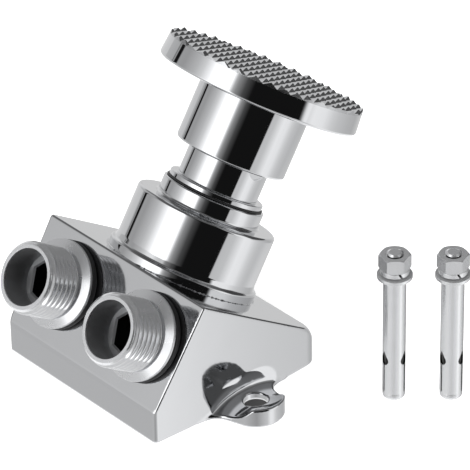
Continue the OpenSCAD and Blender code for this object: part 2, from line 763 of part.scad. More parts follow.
// The sleeve: a tube with three pointed holes, from each of which a slit runs to its end
module anchor_sleeve(which) {
    hole_r = 1.5;
    slit = 0.5;
    color(zinc) at_anchor(which) difference() {
        rotate_extrude() polygon([[cone_r(anchor_sleeve_low) + fit_gap, anchor_sleeve_low],
            [anchor_r, anchor_sleeve_low], [anchor_r, anchor_sleeve_h], [anchor_bore_r, anchor_sleeve_h],
            [anchor_bore_r, cone_height(anchor_bore_r - fit_gap)]]);
        for (a = [-70:120:170]) rotate([0, 0, a]) {
            translate([0, 0, anchor_hole_h]) rotate([90, 0, 90]) linear_extrude(anchor_r + over) {
                circle(r = hole_r, $fn = 32);
                polygon([[-hole_r * 0.8, hole_r * 0.6], [hole_r * 0.8, hole_r * 0.6], [0, hole_r * 1.9]]);
            }
            translate([0, -slit / 2, 0]) cube([anchor_r + over, slit, anchor_hole_h]);
        }
    }
}

module plain_washer(which) {
    color(zinc) at_anchor(which) ring(washer_r, anchor_bore_r, washer_low, spring_washer_low);
}

// The spring washer: a ring of square section with one slanted split
module spring_washer(which) {
    outer_r = anchor_bore_r + 1.5;
    color(zinc) at_anchor(which) difference() {
        ring(outer_r, anchor_bore_r, spring_washer_low, anchor_nut_low);
        rotate([0, 0, -20]) translate([0, 0, (spring_washer_low + anchor_nut_low) / 2])
            rotate([30, 0, 0]) translate([0, -0.3, -2]) cube([outer_r + over, 0.6, 4]);
    }
}

module anchor_nut(which) {
    color(zinc) at_anchor(which) translate([0, 0, anchor_nut_low]) rotate([0, 0, 18])
        hex_nut(anchor_nut_af, anchor_nut_h, anchor_bore_r);
}

valve_body();
inlet_nipple();
outlet_nipple();
inlet_seal();
outlet_seal();
bonnet();
bonnet_seal();
guide_sleeve();
sleeve_seal();
gland_bush();
gland_seal();
stem_seals();
seat_ring();
seat_seal();
pedal();
stem();
lock_nut();
stem_clip();
return_spring();
spring_cup();
disc_holder();
valve_disc();
disc_nut();
anchor_bolt(0);  // anchor_bolt_a
anchor_sleeve(0);  // anchor_sleeve_a
plain_washer(0);  // plain_washer_a
spring_washer(0);  // spring_washer_a
anchor_nut(0);  // anchor_nut_a
anchor_bolt(1);  // anchor_bolt_b
anchor_sleeve(1);  // anchor_sleeve_b
plain_washer(1);  // plain_washer_b
spring_washer(1);  // spring_washer_b
anchor_nut(1);  // anchor_nut_b
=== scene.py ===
"""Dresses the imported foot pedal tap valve: chromed castings, threads, a toothed pedal and floor anchors."""
import json
import math

import bmesh
import bpy
import numpy as np
from mathutils import Matrix, Vector


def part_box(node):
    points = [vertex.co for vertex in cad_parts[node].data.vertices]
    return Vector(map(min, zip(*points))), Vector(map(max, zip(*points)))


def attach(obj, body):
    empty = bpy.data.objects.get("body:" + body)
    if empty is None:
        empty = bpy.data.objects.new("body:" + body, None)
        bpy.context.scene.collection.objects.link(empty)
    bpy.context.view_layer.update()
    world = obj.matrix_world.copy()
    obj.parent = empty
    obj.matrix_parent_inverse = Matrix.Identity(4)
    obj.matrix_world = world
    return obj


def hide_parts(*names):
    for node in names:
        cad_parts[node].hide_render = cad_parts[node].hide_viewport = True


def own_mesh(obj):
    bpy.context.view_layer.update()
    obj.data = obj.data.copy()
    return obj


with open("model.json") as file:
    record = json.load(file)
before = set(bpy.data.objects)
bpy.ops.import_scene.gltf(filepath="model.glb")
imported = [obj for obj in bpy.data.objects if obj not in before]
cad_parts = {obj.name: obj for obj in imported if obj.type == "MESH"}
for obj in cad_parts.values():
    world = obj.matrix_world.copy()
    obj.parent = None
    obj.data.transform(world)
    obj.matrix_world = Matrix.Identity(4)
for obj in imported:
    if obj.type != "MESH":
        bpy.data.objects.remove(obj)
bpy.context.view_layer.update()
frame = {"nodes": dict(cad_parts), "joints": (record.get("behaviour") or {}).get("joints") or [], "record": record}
nodes = frame["nodes"]
mounts = {mount["name"]: mount for mount in frame["record"]["mounts"]}

MM = 0.001

# The photograph's frame and the camera that took it
PHOTO_SIDE = 470
FOCAL_PIXELS = 3838.2
FILM_WIDTH = 36
CAMERA_AZIMUTH = 48.593
CAMERA_ELEVATION = 32.886
CAMERA_ROLL = -0.989
CAMERA_DISTANCE = 1079.1
CAMERA_CLIP = (0.05, 20)
AIM_FOOT = (0, -2.5, 35)
AIM_RIGHT = 21.524
AIM_UP = 4.842

# How finely round pieces are divided: steps for a full turn, and degrees for each step of a small round
ROUND_STEPS = 240
ARC_STEP = 9

# Points this close, in millimetres, are one point: in the new pieces and in the CAD's meshes
WELD = 1e-4
CAD_WELD = 0.002

# The least length that anything is divided by
TINY = 1e-9

# Clearances in millimetres: round a piece in its bore, and between faces that would share a place
FIT = 0.05
HAIR = 0.02

# Haze on the chrome and stain on bare metal: how wide the patches are in millimetres, and the haze's strength
HAZE_MM = 9
HAZE_SHARE = 0.4
STAIN_MM = 3

# A lathe's lines are noise drawn out ten times sideways, so they run round a piece that stands upright
LATHE_STRETCH = (0.1, 0.1, 1)

# The barrel in millimetres: radii, and heights along the pedal's axis from the rear slope
PAD_R = 22.1
PAD_TOP = 1.8
GASKET_R = 19.7
GASKET_TOP = 2.1
GASKET_EDGE = 0.1
BONNET_R = 20.9
BONNET_TOP = 19.5
BONNET_EDGE = 1
BONNET_WALL = 3.4
FOOT_FLARE = 1.32
FOOT_TOP = 2.6
FOOT_TOP_ROUND = 0.6
FOOT_STEP = 2.9
FOOT_STEP_ROUND = 0.7
FOOT_END = 4.6
FOOT_END_ROUND = 2
SPIGOT_R = 14.5
SPIGOT_LOW = -2
CHAMBER_TOP = 15.7
BOSS_R = 15.2
BOSS_TOP = 24.5
BOSS_FILLET = 0.9
BOSS_EDGE = 0.5
GLAND_R = 11.55

# The guide sleeve, measured in the same way, and the rows of points on its flats
SLEEVE_R = 12
SLEEVE_BORE = 9.5
SLEEVE_TOP = 44.5
SLEEVE_EDGE = 0.8
SLEEVE_TAIL_R = 11
SLEEVE_TAIL_LOW = 17.7
SLEEVE_SHELF = 20.7
SLEEVE_HOLE = 4.4
COLLAR_R = 14.1
COLLAR_LOW = 25.1
COLLAR_LOW_EDGE = 0.15
COLLAR_TOP = 26.6
COLLAR_TOP_EDGE = 0.4
COLLAR_FILLET = 0.25
TUBE_LOW = 27.6
FLAT_WIDTH = 8
FLAT_LOW = 33.3
FLAT_LEAD = 0.2
FLAT_ROWS = 60
SLEEVE_SEAL_R = 14.5
SLEEVE_SEAL_EDGE = 0.3

# The pedal, measured in the same way
SKIRT_R = 16.4
SKIRT_LOW = 35.6
SKIRT_EDGE = 0.8
SKIRT_BORE = 12.4
SKIRT_BORE_EDGE = 0.4
SKIRT_FILLET = 0.8
SKIRT_ROOF = 54
PLATE_R = 30
PLATE_LOW = 55.4
PLATE_EDGE = 0.8
PLATE_TOP = 61.8
PLATE_TOP_R = 29.4

# The tread in millimetres, but its grooves' two directions and the edges that stay sharp in degrees
TREAD_PITCH = 4.05
TREAD_TURNS = (90, -29)
TREAD_SPARE = 5
TREAD_SINK = 0.1
TREAD_BITE = 0.5
TREAD_BASE = 1
TREAD_SHARP = 12
TOOTH_HEIGHT = 1.3
TOOTH_TIP = 0.1

# The thread's form: how steeply it grows out, each crest's flat share, how much is V, and rows in a turn
THREAD_RUNOUT = 1.5
THREAD_CREST = 0.14
THREAD_SHARP = 0.55
THREAD_ROWS = 28

# A nipple in millimetres: radii, and heights along its axis from the front slope, and its socket's turn
THREAD_R = 10.4775
THREAD_PITCH = 1.814
THREAD_DEPTH = 1.1
THREAD_NECK = 0.5
THREAD_LEAD = 1
NIPPLE_TOP = 16.2
TIP_CHAMFER = 0.12
TIP_EDGE = 0.05
NIPPLE_BORE_R = 8.2
NIPPLE_BORE_LOW = 6.6
MOUTH_DEEP = 0.6
MOUTH_EDGE = 0.2
SOCKET_WIDTH = 12
SOCKET_TURN = 18
SOCKET_LEAD = 0.5
SOCKET_STEP = 0.2
SOCKET_FULL = 0.7
TAIL_R = 8
TAIL_LOW = -8
TAIL_CHAMFER = 1
FLANGE_R = 12.9
FLANGE_CONE = 1
FLANGE_LOW = 2.3
FLANGE_LOW_EDGE = 0.2
FLANGE_TOP = 4.1
FLANGE_CONE_EDGE = 0.25
FLANGE_TOP_EDGE = 0.1
RUBBER_R = 12.95
RUBBER_HAIR = 0.008
RUBBER_EDGE = 0.9


def place(origin, axis):
    """A frame whose z is the axis: columns are its x, y, z and its origin in metres."""
    z = Vector(axis).normalized()
    x = Vector((1, 0, 0))
    x = (x - x.dot(z) * z).normalized()
    y = z.cross(x)
    return np.array([[*x], [*y], [*z], [*origin]]).T


def on_pedal_axis():
    """The frame on the pedal's axis, from the joint that the pedal turns on."""
    turn = next(joint for joint in frame["joints"] if joint["name"] == "pedal_turn")
    return place(turn["pos_m"], turn["axis"])


def on_nipple_axis(name):
    """The frame on a nipple's axis, with its origin in the front slope, from the thread's mount."""
    mount = mounts[name + "_thread"]
    middle = NIPPLE_TOP - THREAD_LEAD - mount["dims"]["length_mm"] / 2
    origin = Vector(mount["pos_m"]) - Vector(mount["axis"]) * middle * MM
    return place(origin, mount["axis"])


def to_the_right(direction):
    """The unit normal to the right of a direction."""
    return np.array([direction[1], -direction[0]]) / np.linalg.norm(direction)


def outline(corners, closed=True):
    """Points of a profile whose corners (r, z, fillet) are rounded, with the normals that each point has
    towards the stretch before it and the one after it. The solid lies to the left of the way along it."""
    flat = np.array([corner[:2] for corner in corners], float)
    count = len(flat)
    points, before, after = [], [], []
    for i, corner in enumerate(corners):
        here = flat[i]
        back = here - flat[i - 1] if closed or i else None
        on = flat[(i + 1) % count] - here if closed or i < count - 1 else None
        normal_in = to_the_right(on if back is None else back)
        normal_out = to_the_right(back if on is None else on)
        radius = corner[2] if len(corner) > 2 else 0
        if not radius:
            points.append(here)
            before.append(normal_in)
            after.append(normal_out)
            continue
        start = math.atan2(normal_in[1], normal_in[0])
        turn = (math.atan2(normal_out[1], normal_out[0]) - start + math.pi) % (2 * math.pi) - math.pi
        side = 1 if turn > 0 else -1
        reach = radius * math.tan(abs(turn) / 2)
        centre = here - back / np.linalg.norm(back) * reach - side * radius * normal_in
        steps = max(2, round(abs(math.degrees(turn)) / ARC_STEP))
        for angle in start + turn * np.linspace(0, 1, steps + 1):
            normal = np.array([math.cos(angle), math.sin(angle)])
            points.append(centre + side * radius * normal)
            before.append(normal)
            after.append(normal)
    return np.array(points), np.array(before), np.array(after)


def lathe(corners, closed=True, steps=ROUND_STEPS):
    """A profile carried round the z axis: at angle a, (r, z) goes to (r cos a, r sin a, z)."""
    rows = outline(corners, closed)
    if closed:
        rows = [np.vstack([row, row[:1]]) for row in rows]
    angle = np.linspace(0, 2 * np.pi, steps + 1)
    wave = np.stack([np.cos(angle), np.sin(angle)], 1)

    def carried(flat):
        round_part = flat[:, None, :1] * wave[None]
        return np.dstack([round_part, np.repeat(flat[:, 1:], steps + 1, 1)])

    return quads_of(*[carried(row) for row in rows])


def unit(vectors):
    """The same directions, each with a length of 1."""
    return vectors / np.maximum(np.linalg.norm(vectors, axis=-1, keepdims=True), TINY)


def quads_of(grid, before=None, after=None):
    """The quads of a grid of points, with a normal at each corner: given, or worked out across the grid.
    Row i is joined to row i + 1, and a face's outside is where its corners run anticlockwise. A point may
    have one normal for the row before it and another for the row after it."""
    rows, columns = grid.shape[:2]
    index = np.arange(rows * columns).reshape(rows, columns)
    quads = np.stack([index[:-1, :-1], index[:-1, 1:], index[1:, 1:], index[1:, :-1]], -1).reshape(-1, 4)
    if before is None:
        before = unit(np.cross(np.gradient(grid, axis=1), np.gradient(grid, axis=0)))
    if after is None:
        after = before
    corner = np.stack([after[:-1, :-1], after[:-1, 1:], before[1:, 1:], before[1:, :-1]], 2)
    return grid.reshape(-1, 3), quads, corner.reshape(-1, 4, 3)


def flat_quads(grid):
    """The quads of a grid, each with its own flat normal: the cross product of its diagonals."""
    points, quads, _ = quads_of(grid)
    a, b, c, d = (points[quads[:, k]] for k in range(4))
    return points, quads, np.repeat(unit(np.cross(c - a, d - b))[:, None], 4, 1)


def piece(name, shells, at, material, body, stands_for):
    """Joins shells into one mesh, welds their shared edges, and puts it at its place in metres.
    A list of materials has one for each shell."""
    coats = material if isinstance(material, list) else [material] * len(shells)
    kinds = list(dict.fromkeys(coats))
    coat_of = np.repeat([kinds.index(coat) for coat in coats], [len(shell[1]) for shell in shells])
    offsets = np.cumsum([0] + [len(shell[0]) for shell in shells])
    points = np.vstack([shell[0] for shell in shells])
    quads = np.vstack([shell[1] + offset for shell, offset in zip(shells, offsets)])
    normals = np.vstack([shell[2] for shell in shells])
    keys = np.round(points / WELD).astype(np.int64)
    _, first, welded = np.unique(keys, axis=0, return_index=True, return_inverse=True)
    points = points[first]
    quads = welded.reshape(-1)[quads]
    faces, corners, worn = [], [], []
    for quad, normal, coat in zip(quads.tolist(), normals, coat_of):
        keep = [k for k in range(4) if quad[k] != quad[k - 1]]
        if len(keep) > 2:
            faces.append([quad[k] for k in keep])
            corners.append(normal[keep])
            worn.append(coat)
    turn, origin = at[:, :3], at[:, 3]
    mesh = bpy.data.meshes.new(name)
    mesh.from_pydata((points * MM @ turn.T + origin).tolist(), [], faces)
    mesh.polygons.foreach_set("use_smooth", np.ones(len(faces), bool))
    mesh.normals_split_custom_set((np.vstack(corners) @ turn.T).tolist())
    mesh.update()
    thing = linked(name, mesh)
    finish(thing, kinds, body, stands_for)
    mesh.polygons.foreach_set("material_index", worn)
    return thing


def linked(name, data):
    """A new object in the scene that shows a mesh, a light or a camera."""
    thing = bpy.data.objects.new(name, data)
    bpy.context.scene.collection.objects.link(thing)
    return thing


def finish(thing, material, body, stands_for):
    """Gives a piece its materials, its body and the nodes that it stands for."""
    thing.data.materials.clear()
    for coat in material if isinstance(material, list) else [material]:
        thing.data.materials.append(coat)
    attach(thing, body)
    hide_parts(*stands_for)


def add(tree, kind, inputs=(), **settings):
    """Adds a node with its settings. An input is linked where it is given another node's output, and set
    where it is given a value."""
    node = tree.nodes.new(kind)
    for key, value in settings.items():
        setattr(node, key, value)
    for socket, source in dict(inputs).items():
        if isinstance(source, bpy.types.NodeSocket):
            tree.links.new(source, node.inputs[socket])
        else:
            node.inputs[socket].default_value = source
    return node


def linear(hex_colour):
    """An sRGB hex colour as linear red, green, blue and 1."""
    values = [int(hex_colour[i : i + 2], 16) / 255 for i in (1, 3, 5)]
    return (*[v / 12.92 if v <= 0.04045 else ((v + 0.055) / 1.055) ** 2.4 for v in values], 1)


def new_material(name, **settings):
    """Makes a material with a Principled shader, and returns it with its tree and its shader."""
    material = bpy.data.materials.new(name)
    material.use_nodes = True
    tree = material.node_tree
    shader = tree.nodes["Principled BSDF"]
    for key, value in settings.items():
        shader.inputs[key.replace("_", " ")].default_value = value
    return material, tree, shader


def mottle(tree, size_mm, detail=2.0, stretch=(1, 1, 1)):
    """Noise in Object coordinates, whose lumps are about size_mm across."""
    where = add(tree, "ShaderNodeTexCoord").outputs["Object"]
    where = add(tree, "ShaderNodeMapping", {"Vector": where, "Scale": stretch}).outputs["Vector"]
    noise = add(tree, "ShaderNodeTexNoise", {"Vector": where, "Scale": 1 / (size_mm * MM), "Detail": detail})
    return noise.outputs["Fac"]


def cloud(tree, shader, haze, low, high):
    """Roughness that drifts between two values with the haze."""
    rough = add(tree, "ShaderNodeMapRange", {"Value": haze, "To Min": low, "To Max": high})
    tree.links.new(rough.outputs["Result"], shader.inputs["Roughness"])


def raise_by(tree, shader, height, depth_mm, strength=1.0):
    """Raises the surface by up to depth_mm, on top of what raised it before."""
    bump = add(tree, "ShaderNodeBump", {"Height": height, "Strength": strength, "Distance": depth_mm * MM})
    normal = shader.inputs["Normal"]
    if normal.is_linked:
        tree.links.new(normal.links[0].from_socket, bump.inputs["Normal"])
    tree.links.new(bump.outputs["Normal"], normal)


def chrome(name, hex_colour, polish, wave, grain=None, metal=1.0):
    """Chromium plate over brass. The polishing wheel leaves slow waves, and wiping leaves faint haze.
    Matt plating spreads part of the light evenly, as its share that isn't metal does here.
    Waves and grain are each a size and a depth in millimetres."""
    material, tree, shader = new_material(name, Base_Color=linear(hex_colour), Metallic=metal)
    haze = mottle(tree, HAZE_MM, detail=4)
    cloud(tree, shader, haze, polish * (1 - HAZE_SHARE), polish * (1 + HAZE_SHARE))
    raise_by(tree, shader, mottle(tree, wave[0], detail=1), wave[1])
    if grain:
        raise_by(tree, shader, mottle(tree, grain[0], detail=3), grain[1])
    return material


def moulded_rubber():
    """Moulded nitrile rubber: near black, with a dull skin and fine pimples from the mould."""
    material, tree, shader = new_material("moulded_rubber", Base_Color=linear("#1B1B1C"))
    raise_by(tree, shader, mottle(tree, size_mm=0.5, detail=3), depth_mm=0.05, strength=0.5)
    cloud(tree, shader, mottle(tree, size_mm=4), low=0.42, high=0.6)
    return material


def turned_metal(name, hex_colour, low, high, line=(0.3, 0.004), metal=1.0, rim=1.0):
    """Bare metal from a lathe: level lines, with a size and a depth in millimetres, and a little stain between two
    roughnesses. The tool's real feed is about 0.1 mm, and the lines are drawn coarser so that they show. The rim
    is how bright the metal stays where it is seen edge on; below 1 it paints shade on the rims."""
    material, tree, shader = new_material(name, Base_Color=linear(hex_colour), Metallic=metal,
                                          Specular_Tint=(rim, rim, rim, 1))
    cloud(tree, shader, mottle(tree, STAIN_MM, detail=4), low, high)
    raise_by(tree, shader, mottle(tree, line[0], stretch=LATHE_STRETCH), line[1])
    return material


# Cast, then buffed by hand: a clear mirror with slow waves and a little grain
cast_chrome = chrome("polished_cast_chrome", "#C9CACC", 0.07, wave=(14, 0.05), grain=(1.2, 0.0012))
# Turned, then buffed: the clearest mirror, with straight reflections
lathe_chrome = chrome("polished_turned_chrome", "#C9CACC", 0.04, wave=(18, 0.01))
# Cut and plated without buffing: soft bright lines along the crests
thread_chrome = chrome("plated_thread", "#DADBDD", 0.11, wave=(2, 0.01), metal=0.81)
# Turned and plated without buffing: broad satin highlights
nipple_chrome = chrome("satin_turned_chrome", "#D0D1D3", 0.27, wave=(5, 0.02), metal=0.8)
# Cast teeth under plate, never buffed: each facet is one soft grey
tread_chrome = chrome("satin_tread_chrome", "#BDBEC0", 0.26, wave=(1.5, 0.03))
# Little plate reaches into a bore: dull grey
bore_chrome = chrome("dull_bore_chrome", "#B0B1B3", 0.42, wave=(3, 0.03), metal=0.88)
# The bore's end, out of the light: painted shade, nearly black
bore_end_shade = chrome("painted_shade_bore_end", "#2A2A2B", 0.5, wave=(3, 0.03))
# Dull black, with a faint sheen
rubber = moulded_rubber()
# Warm yellow, as it comes from the lathe
brass = turned_metal("turned_brass", "#D8B365", 0.2, 0.35)
# Cool grey with a soft shine
steel = turned_metal("drawn_stainless_steel", "#B9BABC", 0.18, 0.3)
# Bright zinc plate: pale, a little milky, with painted shade darkening it at its rims
zinc = turned_metal("bright_zinc_plate", "#E0E1E3", 0.16, 0.3, line=(0.5, 0.0015), metal=0.75, rim=0.2)
# Painted shade for zinc deep in the sleeve, where little light falls, and under the spring washer: nearly black
shaded_zinc = turned_metal("shaded_zinc", "#1A1A1B", 0.5, 0.6)


def bonnet():
    """The round barrel, a profile carried round the pedal's axis: a spigot below, a flared foot that laps
    over the pad, a rounded shoulder, and the boss that takes the sleeve."""
    foot_r = BONNET_R + FOOT_FLARE
    chamber_r = BONNET_R - BONNET_WALL
    chamber_low = GASKET_TOP + BONNET_WALL
    tail_r = SLEEVE_TAIL_R + FIT
    corners = [(GLAND_R, SPIGOT_LOW), (SPIGOT_R, SPIGOT_LOW), (SPIGOT_R, GASKET_TOP),
               (GASKET_R + FIT, GASKET_TOP), (GASKET_R + FIT, PAD_TOP + HAIR), (PAD_R + HAIR, PAD_TOP + HAIR),
               (PAD_R + HAIR, HAIR), (foot_r, HAIR), (foot_r, FOOT_TOP, FOOT_TOP_ROUND),
               (BONNET_R + FOOT_FLARE / 4, FOOT_STEP, FOOT_STEP_ROUND), (BONNET_R, FOOT_END, FOOT_END_ROUND),
               (BONNET_R, BONNET_TOP, BONNET_EDGE), (BOSS_R, BONNET_TOP, BOSS_FILLET),
               (BOSS_R, BOSS_TOP, BOSS_EDGE), (tail_r, BOSS_TOP), (tail_r, CHAMBER_TOP),
               (chamber_r, CHAMBER_TOP), (chamber_r, chamber_low), (GLAND_R, chamber_low)]
    piece("bonnet_shell", [lathe(corners)], on_pedal_axis(), lathe_chrome, "valve",
          ["bonnet"])


def guide_sleeve():
    """The fixed tube. At angle a its radius is R, or reach / cos a on the two flats, where reach is the
    flats' distance from the axis. The flats start at a round milled end."""
    mouth_r = SLEEVE_R - SLEEVE_EDGE
    below = [(SLEEVE_HOLE, SLEEVE_TAIL_LOW), (SLEEVE_TAIL_R, SLEEVE_TAIL_LOW), (SLEEVE_TAIL_R, COLLAR_LOW),
             (COLLAR_R, COLLAR_LOW, COLLAR_LOW_EDGE), (COLLAR_R, COLLAR_TOP, COLLAR_TOP_EDGE),
             (SLEEVE_R, COLLAR_TOP, COLLAR_FILLET), (SLEEVE_R, TUBE_LOW)]
    above = [(mouth_r, SLEEVE_TOP), (SLEEVE_BORE, SLEEVE_TOP), (SLEEVE_BORE, SLEEVE_SHELF),
             (SLEEVE_HOLE, SLEEVE_SHELF), (SLEEVE_HOLE, SLEEVE_TAIL_LOW)]
    half = FLAT_WIDTH / 2
    reach = math.sqrt(SLEEVE_R**2 - half**2)
    heights = [TUBE_LOW, *np.linspace(FLAT_LOW - FLAT_LEAD, FLAT_LOW + half, FLAT_ROWS),
               SLEEVE_TOP - SLEEVE_EDGE, SLEEVE_TOP]
    high, angle = np.meshgrid(heights, np.linspace(0, 2 * np.pi, ROUND_STEPS * 2 + 1), indexing="ij")
    cosine, sine = np.cos(angle), np.sin(angle)
    rise = high - FLAT_LOW - half
    milled = (rise > 0) | (rise**2 + (SLEEVE_R * sine)**2 < half**2)
    flat = milled & (np.abs(cosine) * SLEEVE_R > reach)
    radius = np.where(flat, reach, SLEEVE_R) / np.where(flat, np.abs(cosine), 1)
    radius = np.where(high >= SLEEVE_TOP, mouth_r, radius)
    grid = np.dstack([radius * cosine, radius * sine, high])
    normals = np.dstack([np.where(flat, np.sign(cosine), cosine), np.where(flat, 0, sine),
                         np.zeros_like(high)])
    shells = [lathe(below, False, ROUND_STEPS * 2), quads_of(grid, normals),
              lathe(above, False, ROUND_STEPS * 2)]
    piece("sleeve_tube", shells, on_pedal_axis(), lathe_chrome, "valve", ["guide_sleeve"])


def pedal_casting():
    """The skirt, the plate's underside and its rim, a profile carried round the pedal's axis and closed by a
    flat top below the teeth."""
    top = PLATE_TOP - TREAD_SINK
    corners = [(0, SKIRT_ROOF), (SKIRT_BORE, SKIRT_ROOF), (SKIRT_BORE, SKIRT_LOW, SKIRT_BORE_EDGE),
               (SKIRT_R, SKIRT_LOW, SKIRT_EDGE), (SKIRT_R, PLATE_LOW, SKIRT_FILLET),
               (PLATE_R, PLATE_LOW, PLATE_EDGE), (PLATE_TOP_R, top), (0, top)]
    piece("pedal_casting", [lathe(corners, False)], on_pedal_axis(), lathe_chrome,
          "plunger", ["pedal"])


def tread():
    """Pyramids on a slanting grid: corner (i, j) lies i steps along one set of grooves and j steps along the
    other, and each cell's four corners rise to a small flat tip in its middle. The block is then cut round
    at the rim."""
    turns = np.radians(TREAD_TURNS)
    first, second = np.stack([np.cos(turns), np.sin(turns)], 1)
    stretch = TREAD_PITCH / abs(first[0] * second[1] - first[1] * second[0])
    count = math.ceil(PLATE_R / TREAD_PITCH) + TREAD_SPARE
    steps = np.arange(-count, count + 1) + 0.5
    i, j = np.meshgrid(steps, steps, indexing="ij")

    def at_step(i, j, height):
        flat = (i[..., None] * first + j[..., None] * second) * stretch
        return np.concatenate([flat, np.full_like(flat[..., :1], height)], -1).reshape(-1, 3)

    tip = TOOTH_TIP / TOOTH_HEIGHT / 2
    cells_i, cells_j = i[:-1, :-1] + 0.5, j[:-1, :-1] + 0.5
    low = at_step(i, j, PLATE_TOP)
    tips = [at_step(cells_i + a * tip, cells_j + b * tip, PLATE_TOP + TOOTH_HEIGHT - TOOTH_TIP)
            for a, b in ((-1, -1), (1, -1), (1, 1), (-1, 1))]
    base = at_step(i, j, PLATE_TOP - TREAD_BASE)
    index = np.arange(i.size).reshape(i.shape)
    corner = [part.ravel() for part in (index[:-1, :-1], index[1:, :-1], index[1:, 1:], index[:-1, 1:])]
    cells = len(tips[0])
    top = [len(low) + k * cells + np.arange(cells) for k in range(4)]
    under = len(low) + 4 * cells
    edge = np.concatenate([index[:, 0], index[-1, 1:], index[-2::-1, -1], index[0, -2::-1]])
    quads = [np.stack([corner[k], corner[(k + 1) % 4], top[(k + 1) % 4], top[k]], 1) for k in range(4)]
    quads += [np.stack(top, 1), np.stack([under + part for part in reversed(corner)], 1),
              np.stack([under + edge[:-1], under + edge[1:], edge[1:], edge[:-1]], 1)]
    at = on_pedal_axis()
    block = bare("tread_block", (np.vstack([low, *tips, base]), np.vstack(quads)), at)
    peak = PLATE_TOP + TOOTH_HEIGHT
    peak_r = PLATE_TOP_R - TOOTH_HEIGHT * (PLATE_R - PLATE_TOP_R) / (PLATE_TOP - PLATE_LOW)
    round_cut = bare("round_cut", lathe([(0, PLATE_TOP - TREAD_BITE), (PLATE_TOP_R, PLATE_TOP - TREAD_BITE),
                                         (peak_r, peak), (0, peak)], False), at)
    thing = shared(block, round_cut, "pedal_tread")
    thing.data.set_sharp_from_angle(angle=math.radians(TREAD_SHARP))
    finish(thing, tread_chrome, "plunger", ["pedal"])


def bare(name, shell, at):
    """A mesh object from one shell, with doubles welded and no material."""
    points, quads = shell[:2]
    mesh = bpy.data.meshes.new(name)
    mesh.from_pydata((points * MM @ at[:, :3].T + at[:, 3]).tolist(), [], quads.tolist())
    work = bmesh.new()
    work.from_mesh(mesh)
    bmesh.ops.remove_doubles(work, verts=work.verts, dist=WELD * MM)
    work.to_mesh(mesh)
    work.free()
    return linked(name, mesh)


def shared(thing, tool, name):
    """What two pieces have in common, as a new piece in their place."""
    step = thing.modifiers.new("cut", "BOOLEAN")
    step.object = tool
    step.operation = "INTERSECT"
    step.solver = "EXACT"
    bpy.context.view_layer.update()
    mesh = bpy.data.meshes.new_from_object(thing.evaluated_get(bpy.context.evaluated_depsgraph_get()))
    mesh.polygons.foreach_set("use_smooth", np.ones(len(mesh.polygons), bool))
    bpy.data.objects.remove(thing)
    bpy.data.objects.remove(tool)
    return linked(name, mesh)


def nipple(name):
    """A male half inch nipple: tail, conical collar, helical thread, bore and hexagon socket."""
    root = THREAD_R - THREAD_DEPTH
    neck = FLANGE_TOP + THREAD_NECK
    end = NIPPLE_TOP - TIP_CHAMFER
    mouth = NIPPLE_TOP - MOUTH_DEEP
    low = [(TAIL_R - TAIL_CHAMFER, TAIL_LOW), (TAIL_R, TAIL_LOW + TAIL_CHAMFER), (TAIL_R, FLANGE_LOW),
           (FLANGE_R, FLANGE_LOW, FLANGE_LOW_EDGE), (FLANGE_R, FLANGE_TOP - FLANGE_CONE, FLANGE_CONE_EDGE),
           (THREAD_R, FLANGE_TOP, FLANGE_TOP_EDGE), (root, FLANGE_TOP + FIT), (root, neck)]
    tip = [(root, end), (root - TIP_CHAMFER, NIPPLE_TOP, TIP_EDGE), (NIPPLE_BORE_R, NIPPLE_TOP, MOUTH_EDGE),
           (NIPPLE_BORE_R, mouth)]
    bore = [(NIPPLE_BORE_R, mouth), (NIPPLE_BORE_R, NIPPLE_BORE_LOW)]
    shells = [lathe(low, False), thread(root, neck, end), lathe(tip, False), lathe(bore, False), *socket()]
    # The socket's walls below the step take the painted shade of the bore's end
    coats = [nipple_chrome, thread_chrome, nipple_chrome, bore_chrome, bore_chrome, bore_end_shade]
    piece(name + "_nipple_body", shells, on_nipple_axis(name), coats, "valve",
          [name + "_nipple"])


def thread(root, low, high):
    """The helical thread: radius = crest - depth x wave. The wave follows height / pitch - angle / full turn
    and is part V, part cosine, which rounds its crests and roots. It grows out of the neck below, and a
    chamfer cuts it off above."""
    rows = THREAD_ROWS * math.ceil((high - low) / THREAD_PITCH)
    height, angle = np.meshgrid(np.linspace(low, high, rows + 1), np.linspace(0, 2 * np.pi, ROUND_STEPS + 1),
                                indexing="ij")
    turn = height / THREAD_PITCH - angle / (2 * np.pi)
    away = np.abs(turn - np.round(turn)) * 2
    straight = np.clip((away - THREAD_CREST) / (1 - 2 * THREAD_CREST), 0, 1)
    curved = 0.5 - 0.5 * np.cos(np.pi * away)
    wave = THREAD_SHARP * straight + (1 - THREAD_SHARP) * curved
    radius = np.minimum.reduce([THREAD_R - THREAD_DEPTH * wave, root + high - height,
                                root + (height - low) * THREAD_RUNOUT])
    return quads_of(np.dstack([radius * np.cos(angle), radius * np.sin(angle), height]))


def socket():
    """The hexagon hole below the bore: a chamfered step inwards, then six flat walls and the tail's end.
    At angle a from the middle of a flat, the hexagon's radius is half its width / cos a."""
    angle = np.linspace(0, 2 * np.pi, ROUND_STEPS + 1)
    cosine, sine = np.cos(angle), np.sin(angle)
    sixth = np.pi / 3
    from_flat = (angle - math.radians(SOCKET_TURN) + sixth / 2) % sixth - sixth / 2
    flat_r = SOCKET_WIDTH / 2 / np.cos(from_flat)
    full = NIPPLE_BORE_LOW - SOCKET_FULL

    def walls(rings):
        grid = [np.stack([r * cosine, r * sine, np.full_like(angle, z)], 1) for r, z in rings]
        return flat_quads(np.array(grid))

    step = [(NIPPLE_BORE_R, NIPPLE_BORE_LOW), (flat_r + SOCKET_LEAD, NIPPLE_BORE_LOW - SOCKET_STEP),
            (flat_r, full)]
    return [walls(step), walls([(flat_r, full), (flat_r, TAIL_LOW), (TAIL_R - TAIL_CHAMFER, TAIL_LOW)])]


